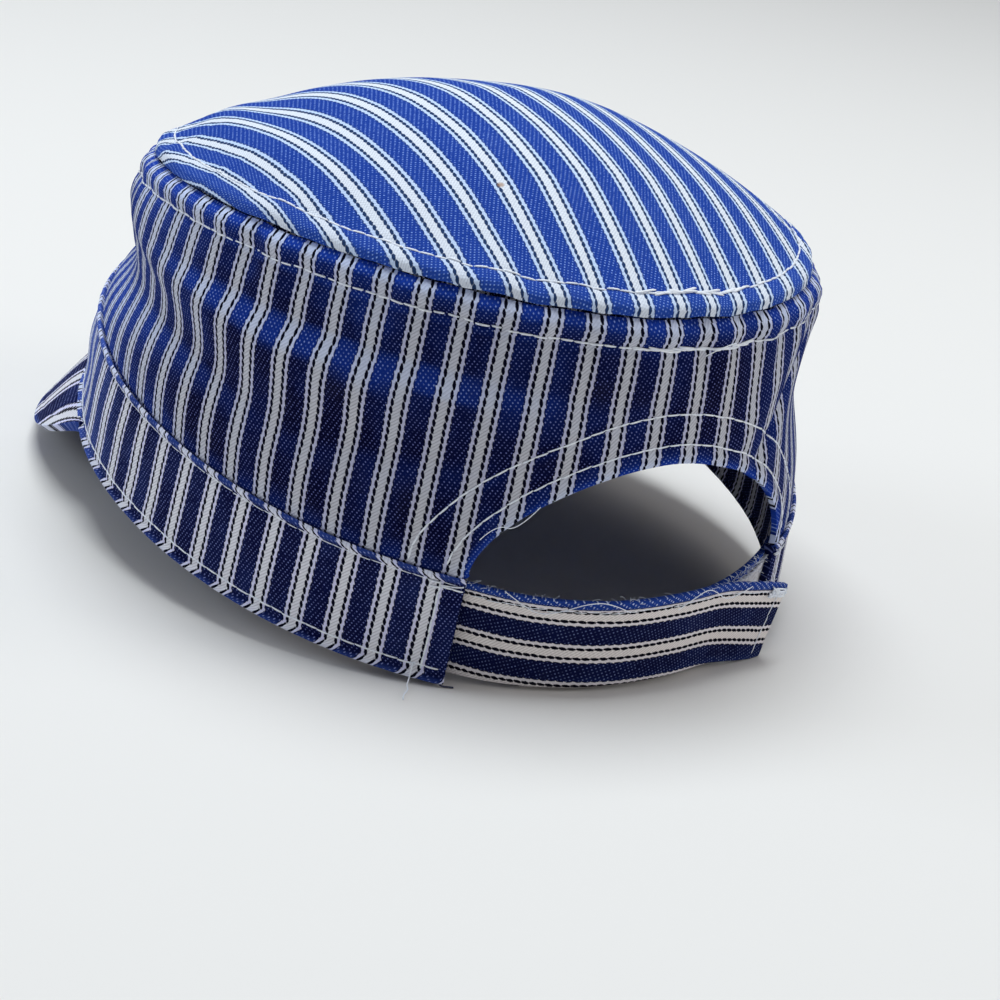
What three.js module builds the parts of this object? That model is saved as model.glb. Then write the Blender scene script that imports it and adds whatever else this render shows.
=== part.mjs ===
// A railroad engineer cap of hickory-stripe denim: a domed oval top on a soft side wall with an
// arched opening at the back, a doubled headband, a short drooping visor, and two closing straps
// that cross over the opening. Millimetres; the wearer faces -Y, the wearer's left is +X.
// The cap stands by itself: on the front corners of its visor and on the strap at its back.
import * as THREE from 'three';

// Cloth and clearances
const clearance = 0.3;
const clothThickness = 1.3;
const bandThickness = 2;
const strapThickness = 1.5;
const visorThickness = 2.4;

// The headband's upper edge and the crown's top seam in plan: half ovals to the back and front
const brow = { halfWidth: 77.2, backReach: 92.7, frontReach: 92 };
const crown = { halfWidth: 70, backReach: 77.7, frontReach: 88 };

// Heights over the plane of the rim
const bandHeight = 24.3;
const bandFlare = 2;
const seamHeight = 67.7;
const seamRise = 14.8;
const seamLean = 2.4;
const seamDip = 2.7;
const domeRise = 26.6;
const domeRoundness = 1.94;

// The side wall stands in from the band, swells, and has soft folds
const wallStep = 0.6;
const wallSwell = 1.6;
const foldDepth = 3;

// The arched opening at the back
const openingWidth = 79;
const openingHeight = 27.3;
const openingRoundness = 1.81;

// The visor, a bill that bends down at its sides
const visorDepth = 36;
const visorHalfTurn = THREE.MathUtils.degToRad(71);
const visorDroop = THREE.MathUtils.degToRad(47);
const visorSideDroop = THREE.MathUtils.degToRad(69);
const visorSideBend = 2.4;
const visorTaper = 2.8;
const visorHornTaper = 1.2;
const visorCurl = 1.15;

// The straps
const strapWidth = 19;
const strapTuck = 8;
const strapPress = 0.4;

// Folds and dents of the side: turn and its spread in degrees from the back towards the wearer's
// left, level and its spread as shares of the wall's height, push as a share of foldDepth
const folds = [
  { turn: 82, turnSpread: 46, level: 0.42, levelSpread: 0.15, push: -1 },
  { turn: 76, turnSpread: 52, level: 0.74, levelSpread: 0.15, push: 0.45 },
  { turn: 60, turnSpread: 40, level: 0.12, levelSpread: 0.14, push: 0.35 },
  { turn: 128, turnSpread: 24, level: 0.32, levelSpread: 0.24, push: -1.8 },
  { turn: 122, turnSpread: 26, level: 0.78, levelSpread: 0.16, push: 0.5 },
  { turn: 152, turnSpread: 18, level: 0.6, levelSpread: 0.3, push: 0.5 },
  { turn: 22, turnSpread: 20, level: 0.62, levelSpread: 0.16, push: -0.3 },
  { turn: -46, turnSpread: 20, level: 0.48, levelSpread: 0.26, push: -1.1 },
  { turn: -52, turnSpread: 22, level: 0.9, levelSpread: 0.12, push: 0.8 },
  { turn: -92, turnSpread: 26, level: 0.4, levelSpread: 0.2, push: -0.7 },
  { turn: -140, turnSpread: 30, level: 0.55, levelSpread: 0.2, push: -0.4 },
];

// How the straps run between their tucked ends: turn as a share of the opening's half turn, out
// as a share of strapThickness from where the band holds them, lift of the lower edge over the
// rim as a share of strapWidth
const outerRoute = [
  { turn: 1, out: 0, lift: 0.1 },
  { turn: 0.74, out: 0.8, lift: 0.105 },
  { turn: 0.45, out: 1.3, lift: 0.12 },
  { turn: 0.1, out: 1.35, lift: 0.13 },
  { turn: -0.2, out: 1.35, lift: 0.145 },
  { turn: -0.5, out: 1.7, lift: 0.13 },
  { turn: -0.76, out: 3.6, lift: 0.05 },
  { turn: -0.95, out: 5.4, lift: -0.04 },
];
const innerRoute = [
  { turn: 0.62, out: 0, lift: 0 },
  { turn: 0.26, out: 0, lift: 0.01 },
  { turn: -0.13, out: 0, lift: 0.06 },
  { turn: -0.5, out: 0, lift: 0.11 },
  { turn: -1, out: 0, lift: 0.14 },
];
const standRow = innerRoute[1];

const degrees = THREE.MathUtils.degToRad;
const lerp = THREE.MathUtils.lerp;

// Turn 0 is the back, a quarter turn is the wearer's left, half a turn the front
function planPoint(plan, turn, spread) {
  const reach = Math.cos(turn) > 0 ? plan.backReach : plan.frontReach;
  return new THREE.Vector2(
    (plan.halfWidth + spread) * Math.sin(turn),
    (reach + spread) * Math.cos(turn),
  );
}

function seamZ(turn) {
  const at = planPoint(crown, turn, 0);
  const rise = seamRise * at.y / crown.backReach;
  const lean = seamLean * at.x / crown.halfWidth;
  return seamHeight + rise + lean - seamDip * Math.cos(2 * turn);
}

// A bump that is 1 at its middle and fades to nothing
function bump(distance) {
  return Math.exp(-distance * distance);
}

function foldPush(turn, level) {
  let push = 0;
  for (const fold of folds) {
    const away = Math.atan2(Math.sin(turn - degrees(fold.turn)), Math.cos(turn - degrees(fold.turn)));
    push += fold.push * bump(away / degrees(fold.turnSpread))
      * bump((level - fold.level) / fold.levelSpread);
  }
  return push * foldDepth;
}

// The side wall's face: level 0 on the band, level 1 at the top seam
function wallPoint(turn, level, spread) {
  const fade = Math.sin(Math.PI * level);
  const out = spread - wallStep * (1 - level) + wallSwell * fade + foldPush(turn, level) * Math.sqrt(fade);
  const plan = {
    halfWidth: lerp(brow.halfWidth, crown.halfWidth, level),
    backReach: lerp(brow.backReach, crown.backReach, level),
    frontReach: lerp(brow.frontReach, crown.frontReach, level),
  };
  const at = planPoint(plan, turn, out);
  return new THREE.Vector3(at.x, at.y, lerp(bandHeight + clearance, seamZ(turn), level));
}

function bandPoint(turn, level, spread) {
  const at = planPoint(brow, turn, spread + bandFlare * (1 - level));
  return new THREE.Vector3(at.x, at.y, bandHeight * level);
}

// Closed body between two grids of points, the outer and the inner face of a sheet. A ring of
// columns closes on itself; an open run gets an edge at each end.
function sheetGeometry(outer, inner, ring) {
  const columns = outer.length;
  const rows = outer[0].length;
  const positions = [];
  for (const face of [outer, inner]) {
    for (const column of face) {
      for (const point of column) positions.push(point.x, point.y, point.z);
    }
  }
  const vertex = (face, column, row) => (face * columns + column % columns) * rows + row;
  const index = [];
  const quad = (a, b, c, d) => index.push(a, b, c, a, c, d);
  const spans = ring ? columns : columns - 1;
  for (let i = 0; i < spans; i++) {
    for (let j = 0; j < rows - 1; j++) {
      quad(vertex(0, i, j), vertex(0, i, j + 1), vertex(0, i + 1, j + 1), vertex(0, i + 1, j));
      quad(vertex(1, i, j), vertex(1, i + 1, j), vertex(1, i + 1, j + 1), vertex(1, i, j + 1));
    }
    const top = rows - 1;
    quad(vertex(0, i, 0), vertex(0, i + 1, 0), vertex(1, i + 1, 0), vertex(1, i, 0));
    quad(vertex(0, i, top), vertex(1, i, top), vertex(1, i + 1, top), vertex(0, i + 1, top));
  }
  if (!ring) {
    const last = columns - 1;
    for (let j = 0; j < rows - 1; j++) {
      quad(vertex(0, 0, j), vertex(1, 0, j), vertex(1, 0, j + 1), vertex(0, 0, j + 1));
      quad(vertex(0, last, j), vertex(0, last, j + 1), vertex(1, last, j + 1), vertex(1, last, j));
    }
  }
  return bodyGeometry(positions, index);
}

function bodyGeometry(positions, index) {
  const geometry = new THREE.BufferGeometry();
  geometry.setAttribute('position', new THREE.Float32BufferAttribute(positions, 3));
  geometry.setIndex(index);
  geometry.computeVertexNormals();
  return geometry;
}

function grid(columnValues, rowValues, pointAt) {
  return columnValues.map((column) => rowValues.map((row) => pointAt(column, row)));
}

function steps(from, to, count) {
  return Array.from({ length: count + 1 }, (unused, i) => lerp(from, to, i / count));
}

function piece(name, geometry, colour, roughness) {
  const material = new THREE.MeshStandardMaterial({ color: colour, roughness, metalness: 0 });
  const mesh = new THREE.Mesh(geometry, material);
  mesh.name = name;
  return mesh;
}

// The opening's foot on the brow, and the height of its arch over the band
const openingTurn = Math.asin(openingWidth / 2 / brow.halfWidth);

function archHeight(turn) {
  const across = Math.abs(Math.sin(turn) * brow.halfWidth) / (openingWidth / 2);
  if (Math.cos(turn) < 0 || across >= 1) return 0;
  return openingHeight * (1 - across ** openingRoundness) ** (1 / openingRoundness);
}

function makeSideWall() {
  const archTurns = steps(-Math.PI / 2, Math.PI / 2, 22)
    .map((angle) => Math.asin(Math.sin(angle) * Math.sin(openingTurn)));
  const sideTurns = steps(openingTurn, 2 * Math.PI - openingTurn, 62).slice(1, -1);
  const turns = [...archTurns, ...sideTurns];
  const face = (spread) => grid(turns, steps(0, 1, 9), (turn, share) => {
    const foot = archHeight(turn) / (seamZ(turn) - bandHeight - clearance);
    return wallPoint(turn, lerp(foot, 1, share), spread);
  });
  return piece('side_wall', sheetGeometry(face(0), face(-clothThickness), true), 0x2a448f, 0.9);
}

function makeTopPanel() {
  const centreY = (crown.backReach - crown.frontReach) / Math.PI;
  const ringTurns = steps(0, 2 * Math.PI, 64).slice(0, -1);
  const shares = [1, 0.92, 0.8, 0.65, 0.48, 0.3, 0.13];
  const underside = (turn, share) => {
    const edge = planPoint(crown, turn, 0);
    const level = lerp(seamHeight, seamZ(turn), share);
    const rise = domeRise * (1 - share ** domeRoundness);
    return new THREE.Vector3(edge.x * share, lerp(centreY, edge.y, share), level + rise + clearance);
  };
  const low = grid(ringTurns, shares, underside);
  const columns = low.length;
  const high = low.map((column, i) => column.map((point, j) => {
    const along = low[(i + 1) % columns][j].clone().sub(low[(i + columns - 1) % columns][j]);
    const outward = column[Math.max(j - 1, 0)].clone().sub(column[Math.min(j + 1, shares.length - 1)]);
    const normal = along.cross(outward).normalize();
    if (normal.z < 0) normal.negate();
    return point.clone().addScaledVector(normal, clothThickness);
  }));
  return piece('top_panel', domeGeometry(high, low, centreY), 0x3a58a8, 0.9);
}

// The dome's two faces close in a fan round the middle
function domeGeometry(high, low, centreY) {
  const columns = high.length;
  const rows = high[0].length;
  const positions = [];
  for (const face of [high, low]) {
    for (const column of face) {
      for (const point of column) positions.push(point.x, point.y, point.z);
    }
  }
  const middle = seamHeight + domeRise + clearance;
  const highMiddle = positions.push(0, centreY, middle + clothThickness) / 3 - 1;
  const lowMiddle = positions.push(0, centreY, middle) / 3 - 1;
  const vertex = (face, column, row) => (face * columns + column % columns) * rows + row;
  const index = [];
  for (let i = 0; i < columns; i++) {
    for (let j = 0; j < rows - 1; j++) {
      const highQuad = [vertex(0, i, j), vertex(0, i, j + 1), vertex(0, i + 1, j + 1), vertex(0, i + 1, j)];
      const lowQuad = [vertex(1, i, j), vertex(1, i + 1, j), vertex(1, i + 1, j + 1), vertex(1, i, j + 1)];
      for (const [a, b, c, d] of [highQuad, lowQuad]) index.push(a, b, c, a, c, d);
    }
    const last = rows - 1;
    index.push(vertex(0, i, last), highMiddle, vertex(0, i + 1, last));
    index.push(vertex(1, i, last), vertex(1, i + 1, last), lowMiddle);
    index.push(vertex(0, i, 0), vertex(0, i + 1, 0), vertex(1, i + 1, 0));
    index.push(vertex(0, i, 0), vertex(1, i + 1, 0), vertex(1, i, 0));
  }
  return bodyGeometry(positions, index);
}

function makeHeadband() {
  const turns = steps(openingTurn, 2 * Math.PI - openingTurn, 64);
  const face = (spread) => grid(turns, steps(0, 1, 4), (turn, level) => bandPoint(turn, level, spread));
  return piece('headband', sheetGeometry(face(0), face(-bandThickness), false), 0x24398a, 0.9);
}

// The visor's upper face: across from -1 to 1 along the rim, share 0 at the rim to 1 at the edge
function visorPoint(across, share) {
  const turn = Math.PI + across * visorHalfTurn;
  const side = 1 - (1 - across * across) ** visorSideBend;
  const droop = lerp(visorDroop, visorSideDroop, side);
  const root = planPoint(brow, turn, bandFlare - bandThickness);
  const rim = planPoint(brow, turn, bandFlare);
  const outward = rim.clone().sub(root).normalize();
  const depth = visorDepth * (1 - Math.abs(across) ** visorTaper) ** visorHornTaper;
  const out = share * (bandThickness + depth * Math.cos(droop));
  const down = depth * Math.sin(droop) * share ** visorCurl;
  return new THREE.Vector3(root.x + outward.x * out, root.y + outward.y * out, -clearance - down);
}

function makeVisor() {
  const acrosses = steps(-1, 1, 40);
  const shares = steps(0, 1, 6);
  const high = grid(acrosses, shares, visorPoint);
  const low = high.map((column) => column.map((point) => point.clone().setZ(point.z - visorThickness)));
  return piece('visor', sheetGeometry(low, high, false), 0x24398a, 0.85);
}

// A strap's inner face in plan: out 0 is where it lies tucked behind the band
function strapPoint(turnShare, out) {
  const tucked = bandThickness + clearance + strapThickness;
  return planPoint(brow, turnShare * openingTurn, out * strapThickness - tucked);
}

// The cap stands on its visor's lowest corners and on the inner strap's lower edge, pressed flat
const standY = strapPoint(standRow.turn, standRow.out).y;
const standZ = standRow.lift * strapWidth + strapPress;
const standTilt = Math.max(...steps(0, 1, 40).map((across) => {
  const corner = visorPoint(across, 1);
  return Math.atan2(standZ - corner.z + visorThickness, standY - corner.y);
}));

function floorZ(y) {
  return standZ + (y - standY) * Math.tan(standTilt);
}

function strapColumns(route, spread) {
  const curve = new THREE.CatmullRomCurve3(route.map((row) => {
    const at = strapPoint(row.turn, row.out);
    return new THREE.Vector3(at.x, at.y, row.lift * strapWidth);
  }));
  return steps(0, 1, 28).map((along) => {
    const at = curve.getPoint(along);
    const ahead = curve.getTangent(along);
    const outward = new THREE.Vector2(ahead.y, -ahead.x).normalize();
    const x = at.x + outward.x * spread;
    const y = at.y + outward.y * spread;
    const low = Math.max(at.z, floorZ(y));
    return steps(0, 1, 2).map((share) => new THREE.Vector3(x, y, lerp(low, at.z + strapWidth, share)));
  });
}

function makeStrap(name, route) {
  const geometry = sheetGeometry(strapColumns(route, 0), strapColumns(route, strapThickness), false);
  return piece(name, geometry, 0x1f3583, 0.9);
}

const tuckShare = 1 + strapTuck / brow.halfWidth / openingTurn;
const outerTuck = { ...outerRoute[0], turn: tuckShare };
const innerTuck = { ...innerRoute[innerRoute.length - 1], turn: -tuckShare };

const cap = new THREE.Group();
cap.add(makeTopPanel(), makeSideWall(), makeHeadband(), makeVisor());
cap.add(makeStrap('outer_strap', [outerTuck, ...outerRoute]));
cap.add(makeStrap('inner_strap', [...innerRoute, innerTuck]));
cap.rotation.x = -standTilt;

// The origin is under the middle of the standing cap
const model = new THREE.Group();
model.add(cap);
const box = new THREE.Box3().setFromObject(model, true);
const middle = box.getCenter(new THREE.Vector3());
cap.position.set(-middle.x, -middle.y, -box.min.z);

export default model;
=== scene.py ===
import math
import random

import bpy
from mathutils import Matrix, Vector, noise


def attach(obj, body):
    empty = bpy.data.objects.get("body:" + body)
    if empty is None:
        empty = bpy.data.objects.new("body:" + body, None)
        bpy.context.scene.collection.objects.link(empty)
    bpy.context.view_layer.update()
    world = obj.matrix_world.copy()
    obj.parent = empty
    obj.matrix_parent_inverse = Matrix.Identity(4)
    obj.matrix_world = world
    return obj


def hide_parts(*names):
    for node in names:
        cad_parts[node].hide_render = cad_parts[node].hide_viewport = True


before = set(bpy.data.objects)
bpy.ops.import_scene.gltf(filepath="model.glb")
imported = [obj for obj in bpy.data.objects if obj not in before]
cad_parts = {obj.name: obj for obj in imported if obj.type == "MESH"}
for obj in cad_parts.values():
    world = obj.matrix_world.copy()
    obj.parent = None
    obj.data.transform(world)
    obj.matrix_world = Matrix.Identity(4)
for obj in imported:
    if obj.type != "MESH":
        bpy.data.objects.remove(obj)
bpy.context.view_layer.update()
random.seed(12)
print("stage: frame loaded")

mm = 0.001

# How the cap stands: its front tipped up, on the visor's corners and the strap at the back
standing = {"tilt": 9.1667, "alongY": 13.4894, "up": 13.4421}
stand = (Matrix.Translation((0, standing["alongY"] * mm, standing["up"] * mm))
         @ Matrix.Rotation(-math.radians(standing["tilt"]), 4, "X"))

# Camera, given in the cap's own frame as it sits on a head (millimetres and degrees)
view = {
    "azimuth": 143.157,
    "elevation": 27.643,
    "distance": 619.92,
    "roll": 13.806,
    "lens": 92.204,
    "target": (-23.304, 0, -9.339),
}


def makeCamera():
    a, e, r = (math.radians(view[k]) for k in ("azimuth", "elevation", "roll"))
    back = Vector((math.sin(a) * math.cos(e), -math.cos(a) * math.cos(e), math.sin(e)))
    level = (-back).cross(Vector((0, 0, 1))).normalized()
    upright = level.cross(-back)
    right = math.cos(r) * level + math.sin(r) * upright
    up = -math.sin(r) * level + math.cos(r) * upright
    spot = (Vector(view["target"]) + view["distance"] * back) * mm
    turned = Matrix((right, up, back)).transposed().to_4x4()
    data = bpy.data.cameras.new("camera")
    data.lens = view["lens"]
    data.sensor_width = 36
    camera = bpy.data.objects.new("camera", data)
    bpy.context.scene.collection.objects.link(camera)
    camera.matrix_world = stand @ Matrix.Translation(spot) @ turned
    bpy.context.scene.camera = camera


makeCamera()
print("stage: camera placed")

# The cap's forms, in millimetres in its own frame: turn 0 is the back, 90 the wearer's left.
# An oval is its half width, its reach to the back and its reach to the front.
form = {
    "brow": (77.2, 92.7, 92),
    "crown": (70, 77.7, 88),
    "bandHeight": 24.3,
    "bandFlare": 2,
    "seamHeight": 67.7,
    "seamRise": 14.8,
    "seamLean": 2.4,
    "seamDip": 2.7,
    "domeRise": 26.6,
    "domeRoundness": 1.94,
    "archHalfWidth": 39.5,
    "archHeight": 27.3,
    "archRoundness": 1.81,
    "gap": 0.3,
}
# The stripe's repeat, and the place on each oval from which the stripes are counted
stripe = {
    "period": 8.944,
    "stitchPeriod": 8.607,
    "wallStart": 152.84,
    "stitchStart": 141.64,
    "bandStart": 111.52,
}


def lerp(a, b, share):
    return a + (b - a) * share


def ramp(value, start, length):
    return min(max((value - start) / length, 0), 1)


def bump(distance):
    return math.exp(-distance * distance)


def ridge(distance, push, at, width):
    # a low rounded row beside an edge, or a groove where its push is below nought
    return push * bump((distance - at) / width)


def turnAway(turn, degrees):
    away = turn - math.radians(degrees)
    return math.atan2(math.sin(away), math.cos(away))


def foldSum(folds, turn, level):
    return sum(
        push * bump(turnAway(turn, at) / math.radians(spread)) * bump((level - where) / reach)
        for at, spread, where, reach, push in folds
    )


def ovalPoint(plan, turn, spread):
    reach = plan[1] if math.cos(turn) > 0 else plan[2]
    return (plan[0] + spread) * math.sin(turn), (reach + spread) * math.cos(turn)


def seamZ(turn):
    x, y = ovalPoint(form["crown"], turn, 0)
    return (form["seamHeight"] + form["seamRise"] * y / form["crown"][1]
            + form["seamLean"] * x / form["crown"][0] - form["seamDip"] * math.cos(2 * turn))


def wallHeight(turn):
    return seamZ(turn) - form["bandHeight"] - form["gap"]


def archHeight(turn):
    across = abs(math.sin(turn)) * form["brow"][0] / form["archHalfWidth"]
    if math.cos(turn) < 0 or across >= 1:
        return 0
    n = form["archRoundness"]
    return form["archHeight"] * (1 - across ** n) ** (1 / n)


def archDistance(turn, height, offset):
    # how far a spot of the wall lies outside a row that keeps an offset from the arch's edge
    farAway = 99
    if math.cos(turn) < 0:
        return farAway
    n = form["archRoundness"]
    wide = form["archHalfWidth"] + offset
    tall = form["archHeight"] + offset
    across = abs(math.sin(turn)) * form["brow"][0]
    radius = ((across / wide) ** n + (max(height, 0) / tall) ** n) ** (1 / n)
    reach = math.hypot(across, height) / max(radius, 1e-6)
    return (radius - 1) * reach


def ovalLength(plan, spread, steps=1440):
    # running length along an oval from the back, both ways
    lengths = [0.0]
    before = ovalPoint(plan, -math.pi, spread)
    for i in range(1, steps + 1):
        here = ovalPoint(plan, -math.pi + 2 * math.pi * i / steps, spread)
        lengths.append(lengths[-1] + math.dist(before, here))
        before = here
    middle = lengths[steps // 2]
    return [length - middle for length in lengths]


def lengthAt(lengths, turn):
    # turns past the front run on round the oval
    laps = math.floor((turn + math.pi) / (2 * math.pi))
    whole = lengths[-1] - lengths[0]
    spot = ((turn + math.pi) / (2 * math.pi) - laps) * (len(lengths) - 1)
    i = min(int(spot), len(lengths) - 2)
    return lerp(lengths[i], lengths[i + 1], spot - i) + laps * whole


browLengths = ovalLength(form["brow"], 0)
crownLengths = ovalLength(form["crown"], 0)


# Helpers for cloth pieces
def deselectAll():
    if bpy.context.mode != "OBJECT":
        bpy.ops.object.mode_set(mode="OBJECT")
    bpy.ops.object.select_all(action="DESELECT")


def addGrid(name, columns, rows):
    deselectAll()
    bpy.ops.mesh.primitive_grid_add(x_subdivisions=columns, y_subdivisions=rows, size=2)
    cloth = bpy.context.object
    cloth.name = name
    cloth.data.name = name
    return cloth


def layCloth(cloth, placeAt):
    # placeAt gives a point in the cap's frame, the cloth's own two lengths and its wear, which on the
    # wall also holds painted light on the folds
    data = cloth.data
    wearAndLight = data.attributes.new("wearAndLight", "FLOAT", "POINT")
    cut = []
    for vertex in data.vertices:
        point, across, along, wornAndLit = placeAt(vertex.co.x, vertex.co.y)
        vertex.co = stand @ (Vector(point) * mm)
        wearAndLight.data[vertex.index].value = wornAndLit
        cut.append((across, along))
    uv = data.uv_layers.active or data.uv_layers.new(name="cloth")
    uv.name = "cloth"
    for loop in data.loops:
        uv.data[loop.index].uv = cut[loop.vertex_index]
    data.update()


def thicken(cloth, thickness, edge):
    deselectAll()
    cloth.select_set(True)
    bpy.context.view_layer.objects.active = cloth
    solidify = cloth.modifiers.new("thickness", "SOLIDIFY")
    solidify.thickness = thickness * mm
    solidify.offset = -1
    solidify.use_even_offset = True
    bpy.ops.object.modifier_apply(modifier=solidify.name)
    if edge:
        bevel = cloth.modifiers.new("edge", "BEVEL")
        bevel.width = edge * mm
        bevel.segments = 2
        bevel.limit_method = "ANGLE"
        bevel.angle_limit = math.radians(55)
        bpy.ops.object.modifier_apply(modifier=bevel.name)
    bpy.ops.object.shade_smooth()


def finishPiece(piece, material, slot, *nodes):
    piece.data.materials.clear()
    piece.data.materials.append(material)
    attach(piece, "root")
    if nodes:
        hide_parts(*nodes)
    print("piece:", piece.name, len(piece.data.polygons), "faces")


# Materials
class Nodes:
    # short hands for a material's node tree
    def __init__(self, name):
        self.material = bpy.data.materials.new(name)
        self.material.use_nodes = True
        self.tree = self.material.node_tree
        self.tree.nodes.clear()

    def add(self, kind, **values):
        node = self.tree.nodes.new(kind)
        for key, value in values.items():
            setattr(node, key, value)
        return node

    def put(self, socket, value):
        if isinstance(value, bpy.types.NodeSocket):
            self.tree.links.new(value, socket)
        elif value is not None:
            socket.default_value = value

    def math(self, operation, a, b=None, c=None, clamp=False):
        node = self.add("ShaderNodeMath", operation=operation, use_clamp=clamp)
        for socket, value in zip(node.inputs, (a, b, c)):
            self.put(socket, value)
        return node.outputs[0]

    def blend(self, share, a, b):
        node = self.add("ShaderNodeMix", data_type="RGBA")
        self.put(node.inputs[0], share)
        self.put(node.inputs[6], a)
        self.put(node.inputs[7], b)
        return node.outputs[2]

    def step(self, value, low, high):
        node = self.add("ShaderNodeMapRange", interpolation_type="SMOOTHSTEP")
        self.put(node.inputs[0], value)
        self.put(node.inputs[1], low)
        self.put(node.inputs[2], high)
        return node.outputs[0]

    def noise(self, vector, scale, detail=2.0):
        node = self.add("ShaderNodeTexNoise")
        self.put(node.inputs["Vector"], vector)
        self.put(node.inputs["Scale"], scale)
        self.put(node.inputs["Detail"], detail)
        return node.outputs[0]

    def slope(self, a, shareA, b, shareB):
        return self.math("ADD", self.math("MULTIPLY", a, shareA), self.math("MULTIPLY", b, shareB))

    def wave(self, value, pitch):
        return self.math("SINE", self.math("MULTIPLY", value, 2 * math.pi / pitch))

    def finish(self, colour, roughness, relief=None, strength=0.0, depth=0.0):
        # the surface, with its relief's depth in millimetres
        shader = self.add("ShaderNodeBsdfPrincipled")
        self.put(shader.inputs["Base Color"], colour)
        self.put(shader.inputs["Roughness"], roughness)
        if relief is not None:
            raised = self.add("ShaderNodeBump")
            self.put(raised.inputs["Strength"], strength)
            self.put(raised.inputs["Distance"], depth * mm)
            self.put(raised.inputs["Height"], relief)
            self.put(shader.inputs["Normal"], raised.outputs[0])
        out = self.add("ShaderNodeOutputMaterial")
        self.put(out.inputs[0], shader.outputs[0])
        return shader


# Widths and pitches of the weave are in millimetres on the cloth
denim = {
    "wideHalf": 0.84,
    "navyWidth": 0.66,
    "thinWidth": 0.66,
    "beadPitch": 1.6,
    "beadSwell": 0.08,
    "edgeSwell": 0.07,
    "ribPitch": 0.84,
    "twillPitch": 0.85,
    "twillSlope": (0.9, -0.44),
    "dotPitch": 0.68,
    "dotSlope": (0.5, 0.87),
    "wander": [(0.5, 3, 0.34), (2.6, 1, 0.22)],  # noise scale, its detail, reach
    "cloudFade": 0.16,
    "whiteFade": 0.75,
    "besideShade": 0.5,
    "crossingShade": 0.16,
    "dirt": 0.02,
    "dirtTone": (0.22, 0.22, 0.26, 1),
    "stainTone": (0.42, 0.24, 0.12, 1),
    "roughness": 0.9,
    "relief": 0.7,
    "reliefDepth": 0.12,
    # the crown's top is faded, and lighter and bluer with painted light; the sides keep more of their
    # dye and are darker with painted shade
    "bleachedAndLit": {
        "zigzag": -0.18,
        "white": (0.79, 0.84, 0.92, 1), "whiteShade": (0.64, 0.69, 0.79, 1),
        "thin": (0.56, 0.70, 0.95, 1), "wornAndLitWhite": (0.70, 0.80, 0.97, 1),
        "navy": (0.020, 0.046, 0.130, 1), "blue": (0.014, 0.052, 0.33, 1),
        "wornAndLit": (0.036, 0.100, 0.46, 1),
        "fleck": (0.26, 0.42, 0.92, 1), "wornAndLitFleck": (0.36, 0.52, 0.92, 1),
    },
    # the side wall's tones: whites and blue made darker, painted shade
    "dyedAndShaded": {
        "zigzag": 0.26,
        "white": (0.59, 0.59, 0.64, 1), "whiteShade": (0.40, 0.40, 0.45, 1),
        "thin": (0.51, 0.51, 0.69, 1), "wornAndLitWhite": (0.60, 0.70, 0.98, 1),
        "navy": (0.0012, 0.0016, 0.010, 1), "blue": (0.0010, 0.0016, 0.024, 1),
        "wornAndLit": (0.010, 0.046, 0.36, 1),
        "fleck": (0.15, 0.17, 0.44, 1), "wornAndLitFleck": (0.26, 0.38, 0.80, 1),
    },
    "doubled": {
        "zigzag": 0.26,
        "white": (0.81, 0.81, 0.86, 1), "whiteShade": (0.58, 0.57, 0.63, 1),
        "thin": (0.70, 0.69, 0.90, 1), "wornAndLitWhite": (0.66, 0.73, 0.98, 1),
        "navy": (0.0015, 0.002, 0.010, 1), "blue": (0.0022, 0.004, 0.042, 1),
        "wornAndLit": (0.046, 0.096, 0.42, 1),
        "fleck": (0.19, 0.23, 0.54, 1), "wornAndLitFleck": (0.38, 0.46, 0.84, 1),
    },
    "strap": {
        "zigzag": 0.22,
        "white": (0.88, 0.82, 0.80, 1), "whiteShade": (0.66, 0.60, 0.58, 1),
        "thin": (0.80, 0.75, 0.78, 1), "wornAndLitWhite": (0.80, 0.80, 0.88, 1),
        "navy": (0.0018, 0.002, 0.008, 1), "blue": (0.0032, 0.005, 0.040, 1),
        "wornAndLit": (0.018, 0.055, 0.30, 1),
        "fleck": (0.13, 0.17, 0.36, 1), "wornAndLitFleck": (0.66, 0.76, 0.97, 1),
    },
}


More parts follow.
